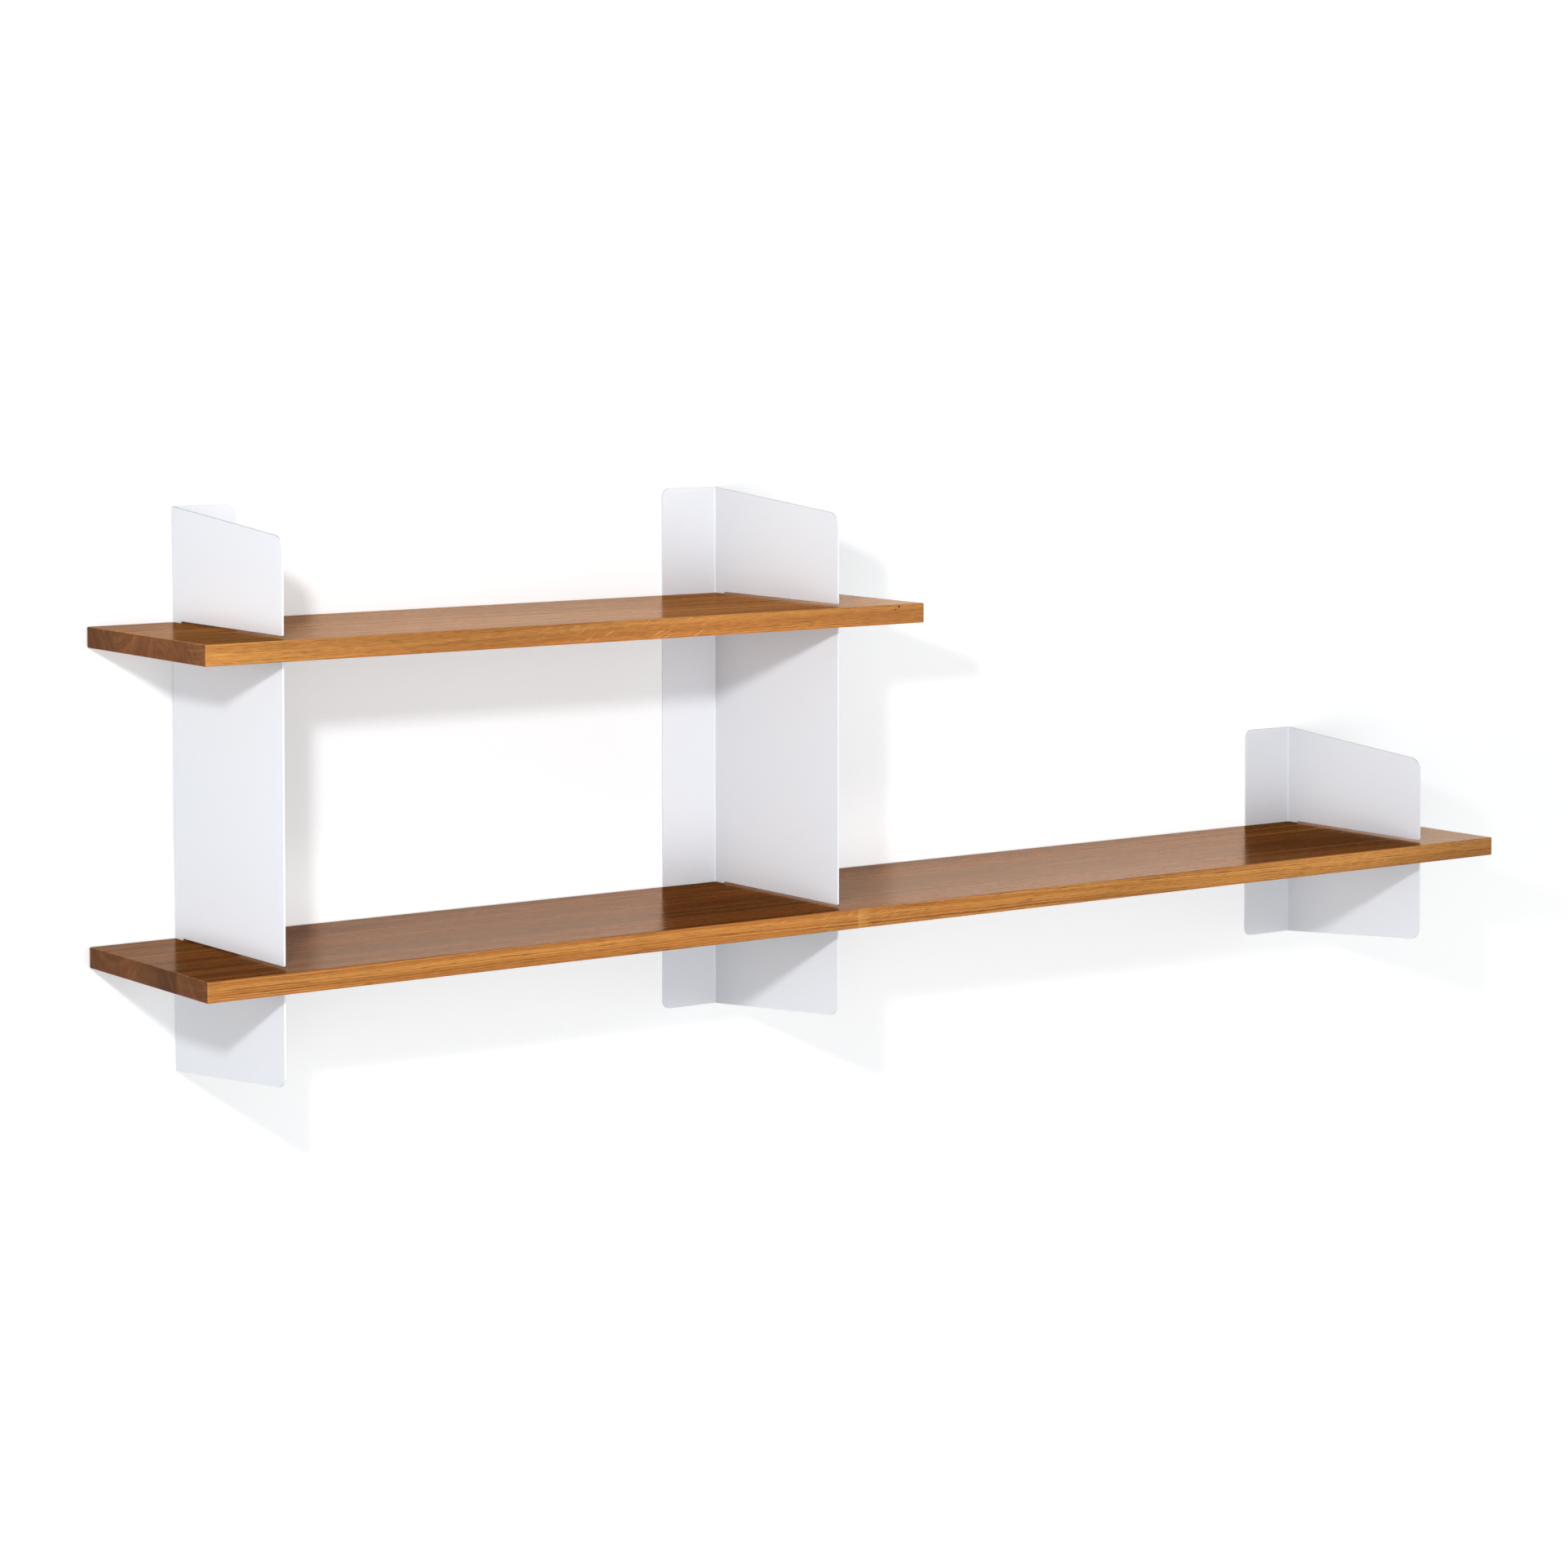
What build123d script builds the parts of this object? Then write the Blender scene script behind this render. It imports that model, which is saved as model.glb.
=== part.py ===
"""Wall shelf: two edge-glued oak boards pushed into the notches of three folded sheet-steel brackets.

Millimetres. X runs along the wall to the right, Y into the wall and Z up. The wall is the plane Y = 0, and the
origin is the middle of the middle bracket's four screw holes.
"""

import os
from itertools import accumulate

from build123d import *

# Boards
upper_board_length = 900.0
lower_board_length = 1800.0
board_depth = 262.0
board_thickness = 22.0
board_arris_radius = 1.2

# Relative widths of each board's glued staves, from the wall to the front
upper_stave_widths = (60, 92, 71, 39)
lower_stave_widths = (24, 84, 45, 43, 66)

# Layout: boards one above the other, flush at the left, standing out past the brackets at each end and in front
board_spacing = 336.0
end_overhang = 100.0
front_overhang = 25.0

# Folded sheet brackets
sheet = 2.0
inner_bend_radius = 1.5
flange_width = 75.0
panel_taper = 20.0
bracket_margin = 120.0
spine_width = 18.0
panel_corner_radius = 16.0
flange_corner_radius = 10.0
notch_corner_radius = 1.0

# Countersunk holes for wall screws, two beside each other behind each board
screw_spacing = 43.0
screw_hole_radius = 2.25
screw_head_radius = 3.5
screw_head_angle = 90.0

# Clearances
notch_clearance = 2.0
back_clearance = 1.0
slot_side_clearance = 0.5
slot_end_clearance = 1.5

# Places that follow from the sizes above
notch_height = board_thickness + notch_clearance
upper_level = board_spacing / 2
lower_level = -board_spacing / 2
outer_bend_radius = inner_bend_radius + sheet
middle_face_x = flange_width / 2
left_end_x = middle_face_x + end_overhang - upper_board_length
left_face_x = left_end_x + end_overhang
right_face_x = left_end_x + lower_board_length - end_overhang
board_back = sheet + back_clearance
panel_reach = board_back + board_depth - front_overhang
slot_depth = spine_width + slot_end_clearance - board_back
slot_width = sheet + 2 * slot_side_clearance


def make_bracket(label, face_x, flange_side, levels):
    """One folded sheet: a flange on the wall and a tapered panel that stands out from it, notched at each level.

    face_x is the panel's outer face, and flange_side is 1 where the flange points right and -1 where it points left.
    """
    height = levels[-1] - levels[0] + notch_height + 2 * bracket_margin
    centre = (levels[0] + levels[-1]) / 2
    end = height / 2
    notches = [level - centre for level in levels]
    # Seen from the side: x is the distance from the wall, and y the height above the bracket's middle
    side_view = Plane((face_x, 0, centre), x_dir=(0, -1, 0), z_dir=(-1, 0, 0))
    # Seen from the room: x runs along the flange from the fold
    wall_view = Plane((face_x, 0, centre), x_dir=(flange_side, 0, 0), z_dir=(0, -flange_side, 0))
    flange_front = Plane((face_x + flange_side * flange_width / 2, -sheet, centre), x_dir=(1, 0, 0), z_dir=(0, -1, 0))

    with BuildPart() as bracket:
        # The folded section, from the panel's front edge round the bend to the flange's free edge
        with BuildSketch(Plane.XY.offset(centre - end)):
            with BuildLine():
                panel_middle = face_x + flange_side * sheet / 2
                FilletPolyline(
                    (panel_middle, -panel_reach),
                    (panel_middle, -sheet / 2),
                    (face_x + flange_side * flange_width, -sheet / 2),
                    radius=inner_bend_radius + sheet / 2,
                )
            trace(line_width=sheet)
        extrude(amount=height)

        # The panel's outline: edges that taper from the bend to rounded front corners, and a notch for each board
        with BuildSketch(side_view) as outline:
            with BuildLine():
                Polyline(
                    (0, -end),
                    (outer_bend_radius, -end),
                    (panel_reach, panel_taper - end),
                    (panel_reach, end - panel_taper),
                    (outer_bend_radius, end),
                    (0, end),
                    close=True,
                )
            make_face()
            with Locations([(spine_width, notch) for notch in notches]):
                Rectangle(panel_reach, notch_height, align=(Align.MIN, Align.CENTER), mode=Mode.SUBTRACT)
            front_corners = outline.vertices().group_by(Axis.X)[-1].sort_by(Axis.Y)
            notch_ends = outline.vertices().filter_by_position(Axis.X, spine_width, spine_width)
            fillet(front_corners[1:-1] + notch_ends, radius=notch_corner_radius)
            front_corners = outline.vertices().group_by(Axis.X)[-1].sort_by(Axis.Y)
            fillet([front_corners[0], front_corners[-1]], radius=panel_corner_radius)
        extrude(amount=flange_width, both=True, mode=Mode.INTERSECT)

        # The flange's outline, rounded at its free edge
        with BuildSketch(wall_view) as flange:
            Rectangle(flange_width, height, align=(Align.MIN, Align.CENTER))
            fillet(flange.vertices().group_by(Axis.X)[-1], radius=flange_corner_radius)
        extrude(amount=panel_reach, both=True, mode=Mode.INTERSECT)

        # A pair of screw holes behind each board
        with Locations(flange_front):
            with GridLocations(screw_spacing, board_spacing, 2, len(levels)):
                CounterSinkHole(screw_hole_radius, screw_head_radius, sheet, screw_head_angle)

    bracket.part.label = label
    export_step(bracket.part, f"parts/{label}.step")


def make_board(label, length, level, slot_faces, stave_widths):
    """A board that lies on the lower edges of its notches, ripped along its glue lines into staves.

    slot_faces lists the panels that it is slotted for, each as its outer face and the side that its sheet is on.
    """
    bottom = level - notch_height / 2
    back_corner = Plane((left_end_x, -board_back, bottom), x_dir=(1, 0, 0), z_dir=(0, 0, 1))

    with BuildPart() as board:
        with BuildSketch(back_corner):
            Rectangle(length, board_depth, align=(Align.MIN, Align.MAX))
        extrude(amount=board_thickness)
        fillet(board.edges(), radius=board_arris_radius)
        # Round-ended slots in the back edge, one for the spine of each bracket
        with BuildSketch(back_corner):
            with Locations([(face_x + side * sheet / 2 - left_end_x, 0) for face_x, side in slot_faces]):
                SlotOverall(2 * slot_depth, slot_width, rotation=90)
        extrude(amount=board_thickness, mode=Mode.SUBTRACT)

    glue_lines = [board_depth * width / sum(stave_widths) for width in accumulate(stave_widths)]
    for number, (front, width) in enumerate(zip(glue_lines, stave_widths), start=1):
        back = front - board_depth * width / sum(stave_widths)
        with BuildPart() as stave:
            add(board.part)
            if number > 1:
                split(bisect_by=Plane.XZ.offset(board_back + back), keep=Keep.TOP)
            if number < len(stave_widths):
                split(bisect_by=Plane.XZ.offset(board_back + front), keep=Keep.BOTTOM)
        stave.part.label = f"{label}_stave_{number}"
        export_step(stave.part, f"parts/{label}_stave_{number}.step")


os.makedirs("parts", exist_ok=True)

make_bracket("left_bracket", left_face_x, 1, [lower_level, upper_level])
make_bracket("middle_bracket", middle_face_x, -1, [lower_level, upper_level])
make_bracket("right_bracket", right_face_x, -1, [lower_level])

left_slot = (left_face_x, 1)
middle_slot = (middle_face_x, -1)
right_slot = (right_face_x, -1)
make_board("upper_board", upper_board_length, upper_level, [left_slot, middle_slot], upper_stave_widths)
make_board(
    "lower_board", lower_board_length, lower_level, [left_slot, middle_slot, right_slot], lower_stave_widths
)
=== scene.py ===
"""Looks of the wall shelf: oiled oak boards in white powder-coated brackets, hung on a white plaster wall."""

import math
from collections import namedtuple

import bpy
from bpy.props import FloatProperty, FloatVectorProperty, PointerProperty
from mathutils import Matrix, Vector


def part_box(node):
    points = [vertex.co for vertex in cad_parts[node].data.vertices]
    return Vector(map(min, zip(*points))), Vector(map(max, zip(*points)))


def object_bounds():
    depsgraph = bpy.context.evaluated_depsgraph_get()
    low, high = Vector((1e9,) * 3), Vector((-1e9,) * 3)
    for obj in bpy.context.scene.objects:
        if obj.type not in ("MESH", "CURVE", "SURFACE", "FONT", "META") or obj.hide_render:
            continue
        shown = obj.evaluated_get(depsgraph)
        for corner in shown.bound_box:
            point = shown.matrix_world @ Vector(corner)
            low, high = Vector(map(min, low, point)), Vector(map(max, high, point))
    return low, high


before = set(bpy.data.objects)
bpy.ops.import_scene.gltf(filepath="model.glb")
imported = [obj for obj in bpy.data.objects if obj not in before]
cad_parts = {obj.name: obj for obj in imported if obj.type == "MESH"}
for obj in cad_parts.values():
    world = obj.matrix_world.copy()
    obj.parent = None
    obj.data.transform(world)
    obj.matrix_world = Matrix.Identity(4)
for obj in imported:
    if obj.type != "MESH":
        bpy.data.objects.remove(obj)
CAD_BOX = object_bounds()

bl_info = {
    "name": "Wall Shelf Looks",
    "version": (1, 0, 0),
    "blender": (4, 5, 0),
    "location": "3D View > Sidebar > Shelf",
    "description": "Finishes the oak boards and the steel brackets of a wall shelf, and hangs it on a wall",
    "category": "Object",
}

MIDDLE = (CAD_BOX[0] + CAD_BOX[1]) / 2

# What a stave lacks lies out here, past every board
NOWHERE = (8.0, 8.1)
NO_KNOT = (9.0, 9.0, 9.0)
NO_JOINT = 9.0

# How each stave was sawn. The pith is the middle of the tree, as (y, z) in metres where x is 0, and the lean is how
# far it drifts in y and z for each metre along the stave. The ring is a year's growth in metres, and lines are how
# strongly the rings show. Flecks are two stretches of x where the edge shows its rays, and the sapwood is one where
# the edge is pale. A pin knot has a smaller one beside it.
Stave = namedtuple(
    "Stave",
    "pith lean ring tone seed lines flecks sapwood knot",
    defaults=(1.0, (NOWHERE, NOWHERE), NOWHERE, NO_KNOT),
)
UPPER_STAVES = (
    Stave((0.045, 0.112), (0.010, 0.008), 0.0026, 0.93, 1.3),
    Stave((-0.074, 0.208), (-0.006, 0.010), 0.0030, 1.00, 4.1),
    Stave((-0.162, 0.130), (0.012, -0.012), 0.0028, 0.98, 7.7),
    Stave(
        (-0.300, 0.235),
        (-0.004, 0.007),
        0.0018,
        1.01,
        77.5,
        lines=0.5,
        flecks=((-0.36, -0.14), NOWHERE),
        knot=(0.1021, -0.265, 0.1754),
    ),
)
LOWER_STAVES = (
    Stave((0.055, -0.244), (0.004, 0.006), 0.0026, 0.90, 2.6),
    Stave((-0.049, -0.100), (0.012, 0.010), 0.0030, 0.98, 5.9),
    Stave((-0.130, -0.290), (-0.008, 0.010), 0.0032, 0.93, 3.4),
    Stave((-0.113, -0.246), (0.006, -0.006), 0.0026, 0.84, 8.8),
    Stave(
        (-0.276, -0.133),
        (0.003, -0.005),
        0.0023,
        0.99,
        54.7,
        lines=0.85,
        flecks=((-0.05, 0.14), (0.68, 1.04)),
        sapwood=(0.045, 0.068),
    ),
)

# How much of each colour a board's broad faces keep, beside the share that all oak faces keep: painted light
# on the upper board's top, as if lit from above, and painted shade on the lower board's, under the upper board
UPPER_FACE_PAINTED_LIGHT = (1.42, 1.40, 1.40)
LOWER_FACE_PAINTED_SHADE = (0.88, 0.76, 0.62)

# How far a stave's seed moves its noise
SEED_STEP = (3.7, 1.9, 1.0)
# Noise in the oak: how many cells to the metre along the grain and across it
LINE_GAPS = (9.0, 240.0)
PORES = (48.0, 900.0)
STREAKS = (13.0, 480.0)
FIBRES = (90.0, 1000.0)
DRIFTS = (0.9, 70.0)
PATCHES = (2.4, 9.0)
# The same for what moves the rings, and how far in metres
SWAYS = ((1.3, 6.0, 0.024), (8.0, 45.0, 0.0024), (90.0, 500.0, 0.0008))
# Cells to the metre out from the pith for rings of uneven width, by up to so many rings
UNEVEN_CELLS = 120.0
UNEVEN_RINGS = 2.4
# Cells to the metre out from the pith and along the grain, for bands of paler and deeper rings
BAND_CELLS = (170.0, 0.8)
# How strongly the lines of the rings and the pores show
LATE_SHOWN = 0.52
EARLY_SHOWN = 0.8
PORES_SHOWN = 0.8

# Rays on the edges: cells to the metre along, across and up, how far they run along for each metre up, and how they
# bend. They show in the flecked stretches and hardly elsewhere. A stretch starts to show so far outside its start, and
# is full so far inside its start and stop.
FLECK_CELLS = (300.0, 90.0, 130.0)
FLECK_SLANT = -2.0
FLECK_BEND_CELLS = 70.0
FLECK_BEND = 0.006
FLECKS_SHOWN = 0.27
STRAY_FLECKS_SHOWN = 0.03
FLECKS_OUTSIDE = 0.05
FLECKS_INSIDE = 0.03
# Rays on the ends, which run out from the pith: cells to the metre round it and out from it
SPOKE_CELLS = (520.0, 14.0)
SPOKES_SHOWN = 0.42

# Sapwood: how sharply it starts, in metres, and how strongly it shows there
SAPWOOD_START = 0.002
SAPWOOD_SHOWN = 0.36

# Pin knots and glue lines, in metres from dark to clear
KNOT = (0.0009, 0.0016)
SMALL_KNOT = (0.0006, 0.0012)
SMALL_KNOT_STEP = (0.0048, 0.0, 0.0034)
KNOT_COLOUR = (0.012, 0.007, 0.005)
GLUE_LINE = (0.0001, 0.0006)
GLUE_SHADE = 0.78

# Finely grained surfaces: cells to the metre and depth of shade, and the plaster's relief in metres
COAT_SPECKLE = {"Fine": 1400.0, "Broad": 420.0, "Depth": 0.07}
PLASTER_SPECKLE = {"Fine": 420.0, "Broad": 150.0, "Depth": 0.06}
PLASTER_RELIEF = 0.0005
# Strength of the coat's own reflections, and how much darker it is to bounced light than it shows: painted shade
# on the boards beside the brackets and in the brackets' corners
COAT_GLOSS = 0.12
COAT_BOUNCE_PAINTED_SHADE = 0.3

# How far the wall and the floor reach from the origin, and the gap between wall and brackets, in metres
STAGE_REACH = 8.0
WALL_GAP = 0.0005


def colour(name, description, default):
    """A colour that a user can change."""
    return FloatVectorProperty(
        name=name, description=description, subtype="COLOR", size=3, min=0.0, max=1.0, default=default
    )


def share(name, description, default):
    """A share from 0 to 1 that a user can change."""
    return FloatProperty(
        name=name, description=description, subtype="FACTOR", min=0.0, max=1.0, default=default
    )


def spot(name, description, default):
    """A place that a user can change."""
    return FloatVectorProperty(name=name, description=description, subtype="TRANSLATION", default=default)


class OakFinish(bpy.types.PropertyGroup):
    """Colours and gloss of the oiled oak."""

    pale: colour("Pale wood", "The palest bands of rings", (0.52, 0.229, 0.052))
    deep: colour("Deep wood", "The deepest bands of rings", (0.40, 0.145, 0.029))
    early: colour("Early wood", "The thin porous line that starts each ring", (0.24, 0.078, 0.013))
    late: colour("Late wood", "The thin pale line that ends each ring", (0.67, 0.360, 0.102))
    pore: colour("Pores", "The open pores, which hold the most oil", (0.13, 0.043, 0.010))
    ray: colour("Rays", "The rays that flash across an edge sawn towards the pith", (0.74, 0.420, 0.150))
    # The broad faces keep less than the edges: painted shade on the tops, where little light falls
    face: colour("Face Light And Shade", "How much of each colour the broad faces keep", (0.90, 0.84, 0.78))
    end_grain: colour("End grain", "How much of each colour the thirstier end grain keeps", (0.38, 0.30, 0.31))
    roughness: share("Roughness", "Roughness of the oiled surface", 0.18)
    gloss: share("Gloss", "Strength of the oil's reflections", 0.18)
    relief: FloatProperty(
        name="Relief", description="Depth of the open pores", subtype="DISTANCE", unit="LENGTH", default=0.0003
    )


class CoatFinish(bpy.types.PropertyGroup):
    """Colour and texture of the powder coat."""

    coat: colour("Coat", "The white of the powder coat", (0.83, 0.866, 0.92))
    # Painted reflections: the coat's colour in reflections, dark, and brown for the middle bracket above the upper
    # board
    painted_reflection: colour("Painted Reflection", "What the boards' oil shows of the brackets", (0.03, 0.018, 0.012))
    painted_reflection_above: colour(
        "Mirrored above", "The same of the middle bracket above the upper board", (0.34, 0.165, 0.070)
    )
    roughness: share("Roughness", "Roughness of the coat", 0.55)
    relief: FloatProperty(
        name="Relief",
        description="Height of the coat's fine orange peel",
        subtype="DISTANCE",
        unit="LENGTH",
        default=0.00006,
    )


class StageSettings(bpy.types.PropertyGroup):
    """Wall, floor, lamps and camera."""

    wall: colour("Wall", "The plaster's own white", (0.765, 0.785, 0.80))
    wall_glow: FloatProperty(name="Wall glow", description="White that the wall shows beyond its own", default=0.19)
    # Painted reflection: the wall's colour in reflections, warmer than it is seen
    wall_painted_reflection: FloatVectorProperty(
        name="Wall gleam",
        description="The wall's colour in reflections",
        subtype="COLOR",
        default=(0.95, 0.725, 0.56),
    )
    floor_glow: FloatProperty(
        name="Floor glow", description="White that the floor shows beyond its own", default=0.85
    )
    floor_drop: FloatProperty(
        name="Floor drop", description="How far the floor is below the shelf", unit="LENGTH", default=1.0
    )
    key_power: FloatProperty(name="Key power", description="Power of the main lamp", unit="POWER", default=39.0)
    key_size: FloatProperty(name="Key size", description="Width of the main lamp", unit="LENGTH", default=0.18)
    key_place: spot("Key place", "Where the main lamp hangs", (-2.03, -2.19, 0.90))
    fill_power: FloatProperty(
        name="Fill power", description="Power of the low lamp in front", unit="POWER", default=28.0
    )
    fill_size: FloatProperty(name="Fill size", description="Width of the low lamp", unit="LENGTH", default=1.6)
    fill_place: spot("Fill place", "Where the low lamp stands", (-0.9, -3.4, -0.45))
    room_light: FloatProperty(name="Room light", description="Light from all round the room", default=1.58)
    window_light: FloatProperty(name="Window light", description="Light from the room's left side", default=2.16)
    ceiling_light: FloatProperty(
        name="Ceiling light", description="Light from overhead and underfoot", default=0.24
    )
    camera_place: spot("Camera place", "Where the camera stands", (-2.6454, -3.8514, 0.5372))
    camera_turn: FloatProperty(
        name="Camera turn",
        description="Turn to the right of straight at the wall",
        unit="ROTATION",
        default=math.radians(35.83),
    )
    camera_dip: FloatProperty(
        name="Camera dip", description="Tilt below level", unit="ROTATION", default=math.radians(2.66)
    )
    lens: FloatProperty(name="Lens", description="Focal length on a 36 mm sensor", unit="CAMERA", default=93.33)
    shift: FloatProperty(name="Shift", description="Vertical shift of the lens", default=-0.20)


class Bench:
    """Lays out nodes in one node tree."""

    def __init__(self, tree):
        self.tree = tree

    def node(self, kind, inputs=(), **settings):
        """A node with its settings, and with values or links in its inputs, by name or number."""
        made = self.tree.nodes.new(kind)
        for key, value in settings.items():
            setattr(made, key, value)
        for key, value in dict(inputs).items():
            self.feed(made.inputs[key], value)
        return made

    def feed(self, socket, value):
        """Links or sets one input."""
        if isinstance(value, bpy.types.NodeSocket):
            self.tree.links.new(value, socket)
        elif socket.type == "RGBA" and len(value) == 3:
            socket.default_value = (*value, 1.0)
        else:
            socket.default_value = value

    def math(self, operation, *values):
        return self.node("ShaderNodeMath", enumerate(values), operation=operation).outputs[0]

    def times(self, product, *others):
        """The product of all the values."""
        for other in others:
            product = self.math("MULTIPLY", product, other)
        return product

    def less(self, value, part):
        """One, less a part of value."""
        return self.math("MULTIPLY_ADD", value, -part, 1.0)

    def vector(self, operation, *values):
        made = self.node("ShaderNodeVectorMath", enumerate(values), operation=operation)
        return made.outputs["Value" if operation == "LENGTH" else "Vector"]

    def scaled(self, vector, factor):
        return self.node("ShaderNodeVectorMath", {0: vector, "Scale": factor}, operation="SCALE").outputs[0]

    def distance(self, a, b):
        return self.vector("LENGTH", self.vector("SUBTRACT", a, b))

    def ramp(self, value, low, high, to_low=0.0, to_high=1.0):
        """Eases from to_low to to_high as value goes from low to high."""
        inputs = {"Value": value, "From Min": low, "From Max": high, "To Min": to_low, "To Max": to_high}
        return self.node("ShaderNodeMapRange", inputs, interpolation_type="SMOOTHSTEP").outputs["Result"]

    def noise(self, vector, detail=1.0, roughness=0.5):
        inputs = {"Vector": vector, "Scale": 1.0, "Detail": detail, "Roughness": roughness}
        return self.node("ShaderNodeTexNoise", inputs).outputs

    def mix(self, factor, a, b):
        """Colour a where the factor is 0, and colour b where it is 1."""
        made = self.node("ShaderNodeMix", data_type="RGBA")
        for name, value in (("Factor_Float", factor), ("A_Color", a), ("B_Color", b)):
            self.feed(next(s for s in made.inputs if s.identifier == name), value)
        return next(s for s in made.outputs if s.identifier == "Result_Color")

    def xyz(self, x=0.0, y=0.0, z=0.0):
        return self.node("ShaderNodeCombineXYZ", {"X": x, "Y": y, "Z": z}).outputs[0]

    def split(self, vector):
        return self.node("ShaderNodeSeparateXYZ", {0: vector}).outputs


def new_group(name, inputs, outputs):
    """A shader node group with its sockets, and the bench to fill it on."""
    tree = bpy.data.node_groups.new(name, "ShaderNodeTree")
    for socket, kind in inputs:
        tree.interface.new_socket(socket, in_out="INPUT", socket_type=kind)
    for socket, kind in outputs:
        tree.interface.new_socket(socket, in_out="OUTPUT", socket_type=kind)
    bench = Bench(tree)
    given = bench.node("NodeGroupInput").outputs
    return bench, given, bench.node("NodeGroupOutput").inputs


def oak_group():
    """Solid oak: rings round a pith, pores along the grain, rays across it, darker ends and fine glue lines."""
    found = bpy.data.node_groups.get("oiled_oak")
    if found:
        return found
    bench, given, result = new_group(
        "oiled_oak",
        [
            ("Pith", "NodeSocketVector"),
            ("Lean", "NodeSocketVector"),
            ("Ring", "NodeSocketFloat"),
            ("Tone", "NodeSocketFloat"),
            ("Seed", "NodeSocketFloat"),
            ("Lines", "NodeSocketFloat"),
            ("Joints", "NodeSocketVector"),
            ("Flecks From", "NodeSocketFloat"),
            ("Flecks To", "NodeSocketFloat"),
            ("More Flecks From", "NodeSocketFloat"),
            ("More Flecks To", "NodeSocketFloat"),
            ("Sapwood From", "NodeSocketFloat"),
            ("Sapwood To", "NodeSocketFloat"),
            ("Knot", "NodeSocketVector"),
            ("Pale", "NodeSocketColor"),
            ("Deep", "NodeSocketColor"),
            ("Early", "NodeSocketColor"),
            ("Late", "NodeSocketColor"),
            ("Pore", "NodeSocketColor"),
            ("Ray", "NodeSocketColor"),
            ("Face Light And Shade", "NodeSocketColor"),
            ("End Grain", "NodeSocketColor"),
            ("Oil Roughness", "NodeSocketFloat"),
        ],
        [("Color", "NodeSocketColor"), ("Roughness", "NodeSocketFloat"), ("Height", "NodeSocketFloat")],
    )
    place = bench.node("ShaderNodeTexCoord").outputs
    point = place["Object"]
    along, across, up = bench.split(point)
    sideways, _, upward = bench.split(place["Normal"])
    end = bench.ramp(bench.math("ABSOLUTE", sideways), 0.55, 0.9)
    face = bench.ramp(bench.math("ABSOLUTE", upward), 0.3, 0.9)
    edge = bench.times(bench.less(end, 1.0), bench.less(face, 1.0))
    seed = given["Seed"]
    offset = bench.scaled(SEED_STEP, seed)

    def grain(cells_along, cells_across, detail=1.0, roughness=0.5):
        """Noise drawn out along the grain, with a place of its own for each stave."""
        stretched = bench.vector("MULTIPLY", point, (cells_along, cells_across, cells_across))
        return bench.noise(bench.vector("ADD", stretched, offset), detail, roughness)

    # Distance from the leaning pith, counted in rings of uneven width
    swayed = point
    for cells_along, cells_across, reach in SWAYS:
        moved = bench.vector("SUBTRACT", grain(cells_along, cells_across)["Color"], (0.5, 0.5, 0.5))
        swayed = bench.vector("ADD", swayed, bench.vector("MULTIPLY", moved, (0.0, reach, reach)))
    centre = bench.vector("ADD", given["Pith"], bench.scaled(given["Lean"], along))
    _, side, rise = bench.split(bench.vector("SUBTRACT", swayed, centre))
    radius = bench.vector("LENGTH", bench.xyz(0.0, side, rise))
    uneven = bench.noise(bench.xyz(bench.times(radius, UNEVEN_CELLS), along, seed))["Fac"]
    rings = bench.math("ADD", bench.math("DIVIDE", radius, given["Ring"]), bench.times(uneven, UNEVEN_RINGS))

    # Each ring starts with a line of early wood and ends with one of late wood, which show more in some years
    season = bench.math("FRACT", rings)
    year = bench.xyz(bench.math("FLOOR", rings), seed, 0.0)
    luck = bench.node("ShaderNodeTexWhiteNoise", {"Vector": year}, noise_dimensions="3D").outputs["Value"]
    spring = bench.times(bench.ramp(season, 0.0, 0.14), bench.ramp(season, 0.22, 0.66, 1.0, 0.0))
    autumn = bench.times(bench.ramp(season, 0.58, 0.78), bench.ramp(season, 0.90, 1.0, 1.0, 0.0))
    shown = bench.times(
        bench.less(end, 0.75),
        bench.less(face, 0.35),
        bench.ramp(luck, 0.0, 1.0, 0.35, 1.0),
        given["Lines"],
        bench.ramp(grain(*LINE_GAPS)["Fac"], 0.34, 0.60, 0.45, 1.0),
    )
    early = bench.times(spring, shown)
    late = bench.times(autumn, shown)
    band = bench.xyz(bench.times(radius, BAND_CELLS[0]), bench.times(along, BAND_CELLS[1]), seed)
    band = bench.noise(band)["Fac"]

    # Pores: short dashes along the grain, thickest in the early wood, and a few long dark streaks
    dash = bench.ramp(grain(*PORES)["Fac"], 0.59, 0.67)
    dash = bench.times(dash, bench.math("MULTIPLY_ADD", early, 0.65, 0.35))
    streak = bench.times(bench.ramp(grain(*STREAKS, 2.0)["Fac"], 0.66, 0.74), 0.8)
    pore = bench.times(bench.math("MAXIMUM", dash, streak), bench.less(end, 0.5))

    # Rays: slanting flashes on the edges, in stretches, and fine lines towards the pith on the ends
    bent = bench.times(bench.noise(bench.scaled(point, FLECK_BEND_CELLS))["Fac"], FLECK_BEND)
    slant = bench.math("ADD", bench.math("MULTIPLY_ADD", up, FLECK_SLANT, along), bent)
    flash = bench.vector("MULTIPLY", bench.xyz(slant, across, up), FLECK_CELLS)
    flash = bench.ramp(bench.noise(bench.vector("ADD", flash, offset), 0.0)["Fac"], 0.67, 0.77)

    def stretch(start, stop):
        """One where x lies between start and stop, and fading out within a few centimetres of them."""
        outside = bench.math("SUBTRACT", start, FLECKS_OUTSIDE)
        rising = bench.ramp(along, outside, bench.math("ADD", start, FLECKS_INSIDE))
        falling = bench.ramp(along, bench.math("SUBTRACT", stop, FLECKS_INSIDE), stop, 1.0, 0.0)
        return bench.times(rising, falling)

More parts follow.
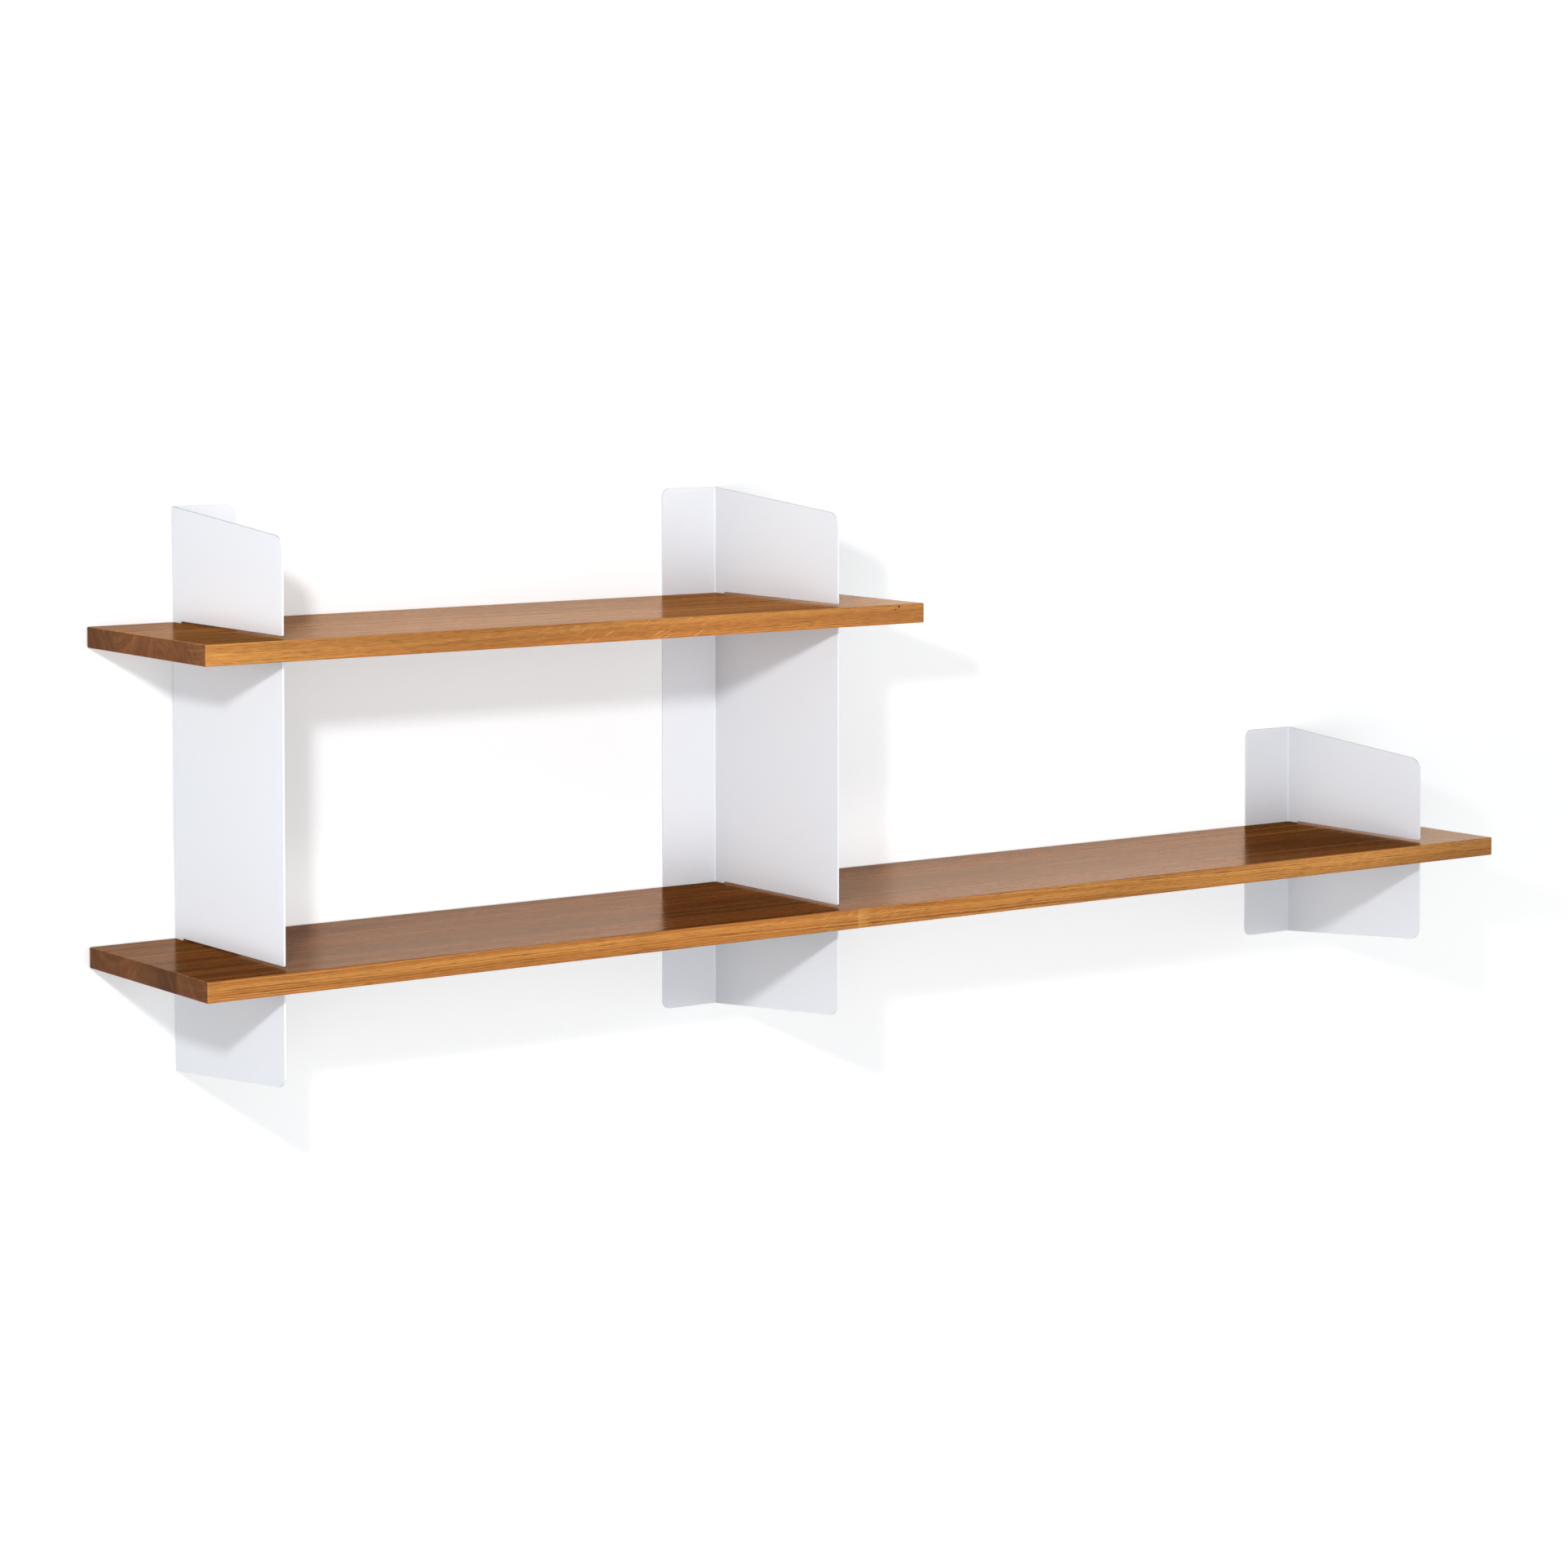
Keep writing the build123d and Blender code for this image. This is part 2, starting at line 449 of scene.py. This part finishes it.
    flecked = bench.math(
        "MAXIMUM",
        stretch(given["Flecks From"], given["Flecks To"]),
        stretch(given["More Flecks From"], given["More Flecks To"]),
    )
    flash = bench.times(flash, edge, bench.math("MULTIPLY_ADD", flecked, FLECKS_SHOWN, STRAY_FLECKS_SHOWN))
    arc = bench.times(bench.math("ARCTAN2", rise, side), radius)
    spoke = bench.xyz(bench.times(arc, SPOKE_CELLS[0]), bench.times(radius, SPOKE_CELLS[1]), seed)
    spoke = bench.times(bench.ramp(bench.noise(spoke)["Fac"], 0.50, 0.68), end)
    ray = bench.math("MULTIPLY_ADD", spoke, SPOKES_SHOWN, flash)

    wood = bench.mix(bench.ramp(band, 0.34, 0.66), given["Deep"], given["Pale"])
    wood = bench.mix(bench.times(late, LATE_SHOWN), wood, given["Late"])
    wood = bench.mix(bench.times(early, EARLY_SHOWN), wood, given["Early"])
    wood = bench.mix(bench.times(pore, PORES_SHOWN), wood, given["Pore"])
    wood = bench.mix(ray, wood, given["Ray"])

    # Sapwood: a sharp start and a slow fade along the edge
    started = bench.ramp(along, given["Sapwood From"], bench.math("ADD", given["Sapwood From"], SAPWOOD_START))
    fading = bench.ramp(along, given["Sapwood From"], given["Sapwood To"], SAPWOOD_SHOWN, 0.0)
    wood = bench.mix(bench.times(started, fading, edge), wood, given["Late"])

    knot = bench.ramp(bench.distance(point, given["Knot"]), *KNOT, 1.0, 0.0)
    beside = bench.vector("SUBTRACT", given["Knot"], SMALL_KNOT_STEP)
    beside = bench.ramp(bench.distance(point, beside), *SMALL_KNOT, 1.0, 0.0)
    wood = bench.mix(bench.math("MAXIMUM", knot, beside), wood, KNOT_COLOUR)

    # Tone: fibres, which show more where the rings show less, broad streaks and slow patches
    fibre = bench.math("SUBTRACT", grain(*FIBRES, 2.0, 0.7)["Fac"], 0.5)
    coarse = bench.times(bench.math("MULTIPLY_ADD", given["Lines"], -0.40, 1.10), bench.less(face, 0.57))
    fibre = bench.math("MULTIPLY_ADD", fibre, coarse, 1.0)
    drift = bench.ramp(grain(*DRIFTS, 2.0, 0.55)["Fac"], 0.25, 0.75, -1.0, 1.0)
    drift = bench.math("MULTIPLY_ADD", drift, bench.math("MULTIPLY_ADD", face, 0.18, 0.14), 1.0)
    patch = bench.ramp(grain(*PATCHES)["Fac"], 0.30, 0.70, 0.85, 1.15)
    wood = bench.scaled(wood, bench.times(fibre, drift, patch, given["Tone"]))
    # Painted light and shade on the broad faces: each board's share makes them lighter or darker
    wood = bench.mix(face, wood, bench.vector("MULTIPLY", wood, given["Face Light And Shade"]))
    thirst = bench.scaled(given["End Grain"], bench.math("POWER", given["Tone"], 2.0))
    wood = bench.mix(end, wood, bench.vector("MULTIPLY", wood, thirst))

    _, back, front = bench.split(given["Joints"])
    to_back = bench.math("ABSOLUTE", bench.math("SUBTRACT", across, back))
    to_front = bench.math("ABSOLUTE", bench.math("SUBTRACT", across, front))
    glue = bench.ramp(bench.math("MINIMUM", to_back, to_front), *GLUE_LINE, GLUE_SHADE, 1.0)
    bench.feed(result["Color"], bench.scaled(wood, glue))

    # Pores, early wood and ends are duller than the rest, and rays are brighter
    dull = bench.math("ADD", bench.times(early, 0.06), bench.times(pore, 0.15))
    dull = bench.math("SUBTRACT", bench.math("ADD", given["Oil Roughness"], dull), bench.times(ray, 0.05))
    bench.feed(result["Roughness"], bench.math("MULTIPLY_ADD", end, 0.15, dull))

    # Pores and early wood are sunk, and rays stand up, less so on the sanded faces
    sunk = bench.math("ADD", bench.times(pore, 0.7), bench.times(early, 0.3))
    relief = bench.math("SUBTRACT", bench.times(ray, 0.25), sunk)
    relief = bench.times(relief, bench.less(face, 0.7))
    bench.feed(result["Height"], bench.math("MULTIPLY_ADD", bench.times(streak, face), -0.9, relief))
    return bench.tree


def speckle_group():
    """Fine cloudy grain at two sizes, as of sprayed powder or trowelled plaster."""
    found = bpy.data.node_groups.get("fine_grain")
    if found:
        return found
    bench, given, result = new_group(
        "fine_grain",
        [("Fine", "NodeSocketFloat"), ("Broad", "NodeSocketFloat"), ("Depth", "NodeSocketFloat")],
        [("Shade", "NodeSocketFloat"), ("Height", "NodeSocketFloat")],
    )
    place = bench.node("ShaderNodeTexCoord").outputs["Object"]
    fine = bench.noise(bench.scaled(place, given["Fine"]), 2.0, 0.6)["Fac"]
    broad = bench.noise(bench.scaled(place, given["Broad"]), 2.0)["Fac"]
    both = bench.math("MULTIPLY_ADD", fine, 0.6, bench.times(broad, 0.4))
    bench.feed(result["Height"], both)
    swing = bench.times(bench.math("SUBTRACT", both, 0.5), given["Depth"])
    bench.feed(result["Shade"], bench.math("ADD", swing, 1.0))
    return bench.tree


def new_material(name):
    """A material with nothing but its output, and the bench to fill it on."""
    material = bpy.data.materials.new(name)
    material.use_nodes = True
    material.node_tree.nodes.clear()
    bench = Bench(material.node_tree)
    return material, bench, bench.node("ShaderNodeOutputMaterial").inputs["Surface"]


def speckled(bench, speckle, relief):
    """The shade and the normal of a finely grained surface."""
    grain = bench.node("ShaderNodeGroup", speckle, node_tree=speckle_group()).outputs
    bump = bench.node("ShaderNodeBump", {"Strength": 0.5, "Distance": relief, "Height": grain["Height"]})
    return grain["Shade"], bump.outputs[0]


def oak_material(name, stave, face_light_and_shade, back_joint, front_joint):
    """Oiled oak as one stave shows it."""
    oak = bpy.context.scene.shelf_oak
    material, bench, surface = new_material(name)
    (flecks_from, flecks_to), (more_from, more_to) = stave.flecks
    sapwood_from, sapwood_to = stave.sapwood
    values = {
        "Pith": (0.0, *stave.pith),
        "Lean": (0.0, *stave.lean),
        "Ring": stave.ring,
        "Tone": stave.tone,
        "Seed": stave.seed,
        "Lines": stave.lines,
        "Joints": (0.0, back_joint, front_joint),
        "Flecks From": flecks_from,
        "Flecks To": flecks_to,
        "More Flecks From": more_from,
        "More Flecks To": more_to,
        "Sapwood From": sapwood_from,
        "Sapwood To": sapwood_to,
        "Knot": stave.knot,
        "Pale": oak.pale,
        "Deep": oak.deep,
        "Early": oak.early,
        "Late": oak.late,
        "Pore": oak.pore,
        "Ray": oak.ray,
        "Face Light And Shade": [board * part for board, part in zip(face_light_and_shade, oak.face)],
        "End Grain": oak.end_grain,
        "Oil Roughness": oak.roughness,
    }
    figure = bench.node("ShaderNodeGroup", values, node_tree=oak_group()).outputs
    bump = bench.node("ShaderNodeBump", {"Strength": 0.6, "Distance": oak.relief, "Height": figure["Height"]})
    shader = bench.node(
        "ShaderNodeBsdfPrincipled",
        {
            "Base Color": figure["Color"],
            "Roughness": figure["Roughness"],
            "Normal": bump.outputs[0],
            "Specular IOR Level": oak.gloss,
        },
    )
    bench.feed(surface, shader.outputs[0])
    return material


def coat_material():
    """Matt white powder coat with a fine orange peel.

    In reflections the coat has a painted colour, dark, and brown for the middle bracket above the upper board:
    a painted reflection that puts shade into the boards' oil in front of the brackets. Its colour for bounced
    light is held back, a painted shade on the boards.
    """
    finish = bpy.context.scene.shelf_coat
    material, bench, surface = new_material("white_powder_coat_finish")
    shade, normal = speckled(bench, COAT_SPECKLE, finish.relief)
    path = bench.node("ShaderNodeLightPath").outputs
    # Painted shade: the coat is darker for bounced light, so it lights the boards and its own corners less
    coat = bench.scaled(finish.coat, bench.times(shade, bench.less(path["Is Diffuse Ray"], COAT_BOUNCE_PAINTED_SHADE)))
    along, _, up = bench.split(bench.node("ShaderNodeTexCoord").outputs["Object"])
    # Painted reflection: brown for the middle bracket above the upper board, dark elsewhere
    past_left_bracket = bench.ramp(along, -0.4, -0.2)
    above_upper_board = bench.ramp(up, 0.15, 0.17)
    painted_reflection = bench.mix(
        bench.times(past_left_bracket, above_upper_board), finish.painted_reflection, finish.painted_reflection_above
    )
    shader = bench.node(
        "ShaderNodeBsdfPrincipled",
        {
            "Base Color": bench.mix(path["Is Glossy Ray"], coat, painted_reflection),
            "Roughness": bench.times(shade, finish.roughness),
            "Normal": normal,
            "Specular IOR Level": COAT_GLOSS,
        },
    )
    bench.feed(surface, shader.outputs[0])
    return material


def oil_board(board, staves, face_light_and_shade):
    """Gives each stave of a board its own figure, with glue lines where it meets its neighbours."""
    boxes = [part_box(f"{board}_stave_{number}") for number in range(1, len(staves) + 1)]
    for index, stave in enumerate(staves):
        low, high = boxes[index]
        node = f"{board}_stave_{index + 1}"
        back_joint = high.y if index > 0 else NO_JOINT
        front_joint = low.y if index < len(staves) - 1 else NO_JOINT
        material = oak_material(f"oiled_oak_{node}", stave, face_light_and_shade, back_joint, front_joint)
        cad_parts[node].material_slots[0].material = material


class SHELF_OT_coat_brackets(bpy.types.Operator):
    """Powder-coats the three folded brackets"""

    bl_idname = "shelf.coat_brackets"
    bl_label = "Coat Brackets"

    def execute(self, context):
        material = coat_material()
        for node in ("left_bracket", "middle_bracket", "right_bracket"):
            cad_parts[node].material_slots[0].material = material
        return {"FINISHED"}


class SHELF_OT_oil_upper_board(bpy.types.Operator):
    """Oils the staves of the short upper board"""

    bl_idname = "shelf.oil_upper_board"
    bl_label = "Oil Upper Board"

    def execute(self, context):
        oil_board("upper_board", UPPER_STAVES, UPPER_FACE_PAINTED_LIGHT)
        return {"FINISHED"}


class SHELF_OT_oil_lower_board(bpy.types.Operator):
    """Oils the staves of the long lower board"""

    bl_idname = "shelf.oil_lower_board"
    bl_label = "Oil Lower Board"

    def execute(self, context):
        oil_board("lower_board", LOWER_STAVES, LOWER_FACE_PAINTED_SHADE)
        return {"FINISHED"}


def stage_sheet(name, corners, material):
    """A flat sheet of the stage, which bounced light passes through, so that it adds no light to the shelf."""
    mesh = bpy.data.meshes.new(name)
    mesh.from_pydata(corners, [], [range(len(corners))])
    sheet = bpy.data.objects.new(name, mesh)
    bpy.context.scene.collection.objects.link(sheet)
    mesh.materials.append(material)
    sheet.visible_diffuse = False
    sheet.visible_shadow = False


def plaster_glow_with_painted_light(bench, glow, right, up):
    """The plaster's glow, with painted light that lightens it low down, on the right and just above each board, and
    painted shade that darkens it at the far left.

    right and up are metres from the middle of the shelf.
    """
    # Painted light low down and on the right, and painted shade at the far left
    low_down = bench.ramp(up, -0.30, 0.05, 0.14, 0.0)
    on_right = bench.ramp(right, -0.3, 0.2, 0.0, 0.16)
    far_left = bench.ramp(right, -0.95, -0.60, -0.30, 0.0)
    bounced = bench.math("ADD", bench.math("MAXIMUM", low_down, on_right), far_left)
    for board in ("upper_board", "lower_board"):
        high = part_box(f"{board}_stave_1")[1] - MIDDLE
        above = bench.math("SUBTRACT", up, high.z)
        # Painted light over the shade that each board casts on the wall just above it
        painted_light_above_board = bench.times(
            bench.ramp(above, 0.0, 0.11, 0.22, 0.0),
            bench.math("GREATER_THAN", above, 0.0),
            bench.ramp(right, high.x - 0.02, high.x + 0.10, 1.0, 0.0),
        )
        bounced = bench.math("ADD", bounced, painted_light_above_board)
    return bench.math("MAXIMUM", bench.math("ADD", bounced, glow), 0.0)


def plaster_material(name, white, glow, gleam):
    """White plaster that keeps the shelf's shadow, turns plain white away from it, and is clear from behind.

    Its glow is only for looks and is partly painted light, and its gleam is its colour in reflections, a painted
    reflection.
    """
    material, bench, surface = new_material(name)
    grain, normal = speckled(bench, PLASTER_SPECKLE, PLASTER_RELIEF)
    path = bench.node("ShaderNodeLightPath").outputs
    seen = bench.math("MAXIMUM", path["Is Camera Ray"], path["Is Transmission Ray"])
    place = bench.vector("SUBTRACT", bench.node("ShaderNodeTexCoord").outputs["Object"], MIDDLE)
    right, _, up = bench.split(place)

    # The plaster is whiter at the far left, where its painted glow is least, so its shadows there are deeper, and its
    # painted reflection is dimmer at the far left and brighter to the right
    white = bench.scaled(white, bench.ramp(right, -0.95, -0.62, 1.25, 1.0))
    far_left = bench.ramp(right, -0.90, -0.50, 0.5, 1.0)
    to_the_right = bench.ramp(right, -0.6, 0.9, 0.92, 1.42)
    gleam = bench.scaled(gleam, bench.times(far_left, to_the_right))
    tint = bench.scaled(bench.mix(path["Is Glossy Ray"], white, gleam), grain)
    diffuse = bench.node("ShaderNodeBsdfDiffuse", {"Color": tint, "Normal": normal})
    glow = bench.times(plaster_glow_with_painted_light(bench, glow, right, up), seen)
    lamp = bench.node("ShaderNodeEmission", {"Strength": glow})
    lit = bench.node("ShaderNodeAddShader", {0: diffuse.outputs[0], 1: lamp.outputs[0]})

    # Away from the shelf it is plain white, and from behind it is clear
    away = bench.times(bench.ramp(bench.vector("LENGTH", place), 0.7, 1.6), seen)
    plain = bench.node("ShaderNodeEmission", {"Strength": 1.0})
    lit = bench.node("ShaderNodeMixShader", {0: away, 1: lit.outputs[0], 2: plain.outputs[0]})
    behind = bench.node("ShaderNodeNewGeometry").outputs["Backfacing"]
    clear = bench.node("ShaderNodeBsdfTransparent")
    both = bench.node("ShaderNodeMixShader", {0: behind, 1: lit.outputs[0], 2: clear.outputs[0]})
    bench.feed(surface, both.outputs[0])
    return material


def stage_lamp(name, place, size, power):
    """A round soft lamp that points at the middle of the shelf."""
    light = bpy.data.lights.new(name, "AREA")
    light.shape = "DISK"
    light.size = size
    light.energy = power
    lamp = bpy.data.objects.new(name, light)
    bpy.context.scene.collection.objects.link(lamp)
    lamp.location = place
    lamp.rotation_euler = (MIDDLE - Vector(place)).to_track_quat("-Z", "Y").to_euler()


def light_room(stage):
    """World light from all round, most from the left and little from overhead, that itself looks plain white."""
    world = bpy.data.worlds.new("studio")
    bpy.context.scene.world = world
    world.use_nodes = True
    world.node_tree.nodes.clear()
    bench = Bench(world.node_tree)
    right, _, height = bench.split(bench.node("ShaderNodeTexCoord").outputs["Generated"])
    round_room = bench.ramp(right, -0.95, -0.25, stage.window_light, stage.room_light)
    below_level = bench.ramp(height, -0.10, 0.05, 1.40, 0.94)
    level = bench.times(round_room, below_level)
    level = bench.ramp(bench.math("ABSOLUTE", height), 0.05, 0.30, level, stage.ceiling_light)
    path = bench.node("ShaderNodeLightPath").outputs
    seen = bench.math("MAXIMUM", path["Is Camera Ray"], path["Is Transmission Ray"])
    seen = bench.math("MAXIMUM", seen, path["Is Glossy Ray"])
    strength = bench.node("ShaderNodeMix", {0: seen, 2: level, 3: 1.0}, data_type="FLOAT").outputs[0]
    background = bench.node("ShaderNodeBackground", {"Color": (1.0, 1.0, 1.0), "Strength": strength})
    bench.feed(bench.node("ShaderNodeOutputWorld").inputs["Surface"], background.outputs[0])


class SHELF_OT_set_stage(bpy.types.Operator):
    """Puts up the wall, the floor, the two lamps, the room's light and the camera"""

    bl_idname = "shelf.set_stage"
    bl_label = "Set Stage"

    def execute(self, context):
        scene = context.scene
        stage = scene.shelf_stage
        wall = plaster_material("wall_plaster", stage.wall, stage.wall_glow, stage.wall_painted_reflection)
        screed = plaster_material("floor_screed", stage.wall, stage.floor_glow, stage.wall)
        reach = STAGE_REACH
        floor = CAD_BOX[0].z - stage.floor_drop
        stage_sheet(
            "wall",
            [(x, WALL_GAP, z) for x, z in ((-reach, floor), (reach, floor), (reach, reach), (-reach, reach))],
            wall,
        )
        stage_sheet(
            "floor",
            [(x, y, floor) for x, y in ((-reach, -reach), (reach, -reach), (reach, reach), (-reach, reach))],
            screed,
        )

        stage_lamp("key_lamp", stage.key_place, stage.key_size, stage.key_power)
        stage_lamp("fill_lamp", stage.fill_place, stage.fill_size, stage.fill_power)
        light_room(stage)

        lens = bpy.data.cameras.new("camera")
        lens.lens = stage.lens
        lens.shift_y = stage.shift
        camera = bpy.data.objects.new("camera", lens)
        scene.collection.objects.link(camera)
        camera.location = stage.camera_place
        camera.rotation_euler = (math.pi / 2 - stage.camera_dip, 0.0, -stage.camera_turn)
        scene.camera = camera
        scene.view_settings.view_transform = "Standard"
        return {"FINISHED"}


class SHELF_PT_looks(bpy.types.Panel):
    """Lists the shelf's finishes and its stage"""

    bl_idname = "SHELF_PT_looks"
    bl_label = "Wall Shelf"
    bl_space_type = "VIEW_3D"
    bl_region_type = "UI"
    bl_category = "Shelf"

    def draw(self, context):
        for group in ("shelf_coat", "shelf_oak", "shelf_stage"):
            box = self.layout.box()
            settings = getattr(context.scene, group)
            for name in settings.__annotations__:
                box.prop(settings, name)
        for operator in OPERATORS:
            self.layout.operator(operator.bl_idname)


SETTINGS = {"shelf_oak": OakFinish, "shelf_coat": CoatFinish, "shelf_stage": StageSettings}
OPERATORS = (SHELF_OT_coat_brackets, SHELF_OT_oil_upper_board, SHELF_OT_oil_lower_board, SHELF_OT_set_stage)


def register():
    for group in SETTINGS.values():
        bpy.utils.register_class(group)
    for name, group in SETTINGS.items():
        setattr(bpy.types.Scene, name, PointerProperty(type=group))
    for cls in (*OPERATORS, SHELF_PT_looks):
        bpy.utils.register_class(cls)


def unregister():
    for cls in reversed((*OPERATORS, SHELF_PT_looks)):
        bpy.utils.unregister_class(cls)
    for name in SETTINGS:
        delattr(bpy.types.Scene, name)
    for group in reversed(SETTINGS.values()):
        bpy.utils.unregister_class(group)


def main():
    register()
    bpy.ops.shelf.coat_brackets()
    bpy.ops.shelf.oil_upper_board()
    bpy.ops.shelf.oil_lower_board()
    bpy.ops.shelf.set_stage()


if __name__ == "__main__":
    main()
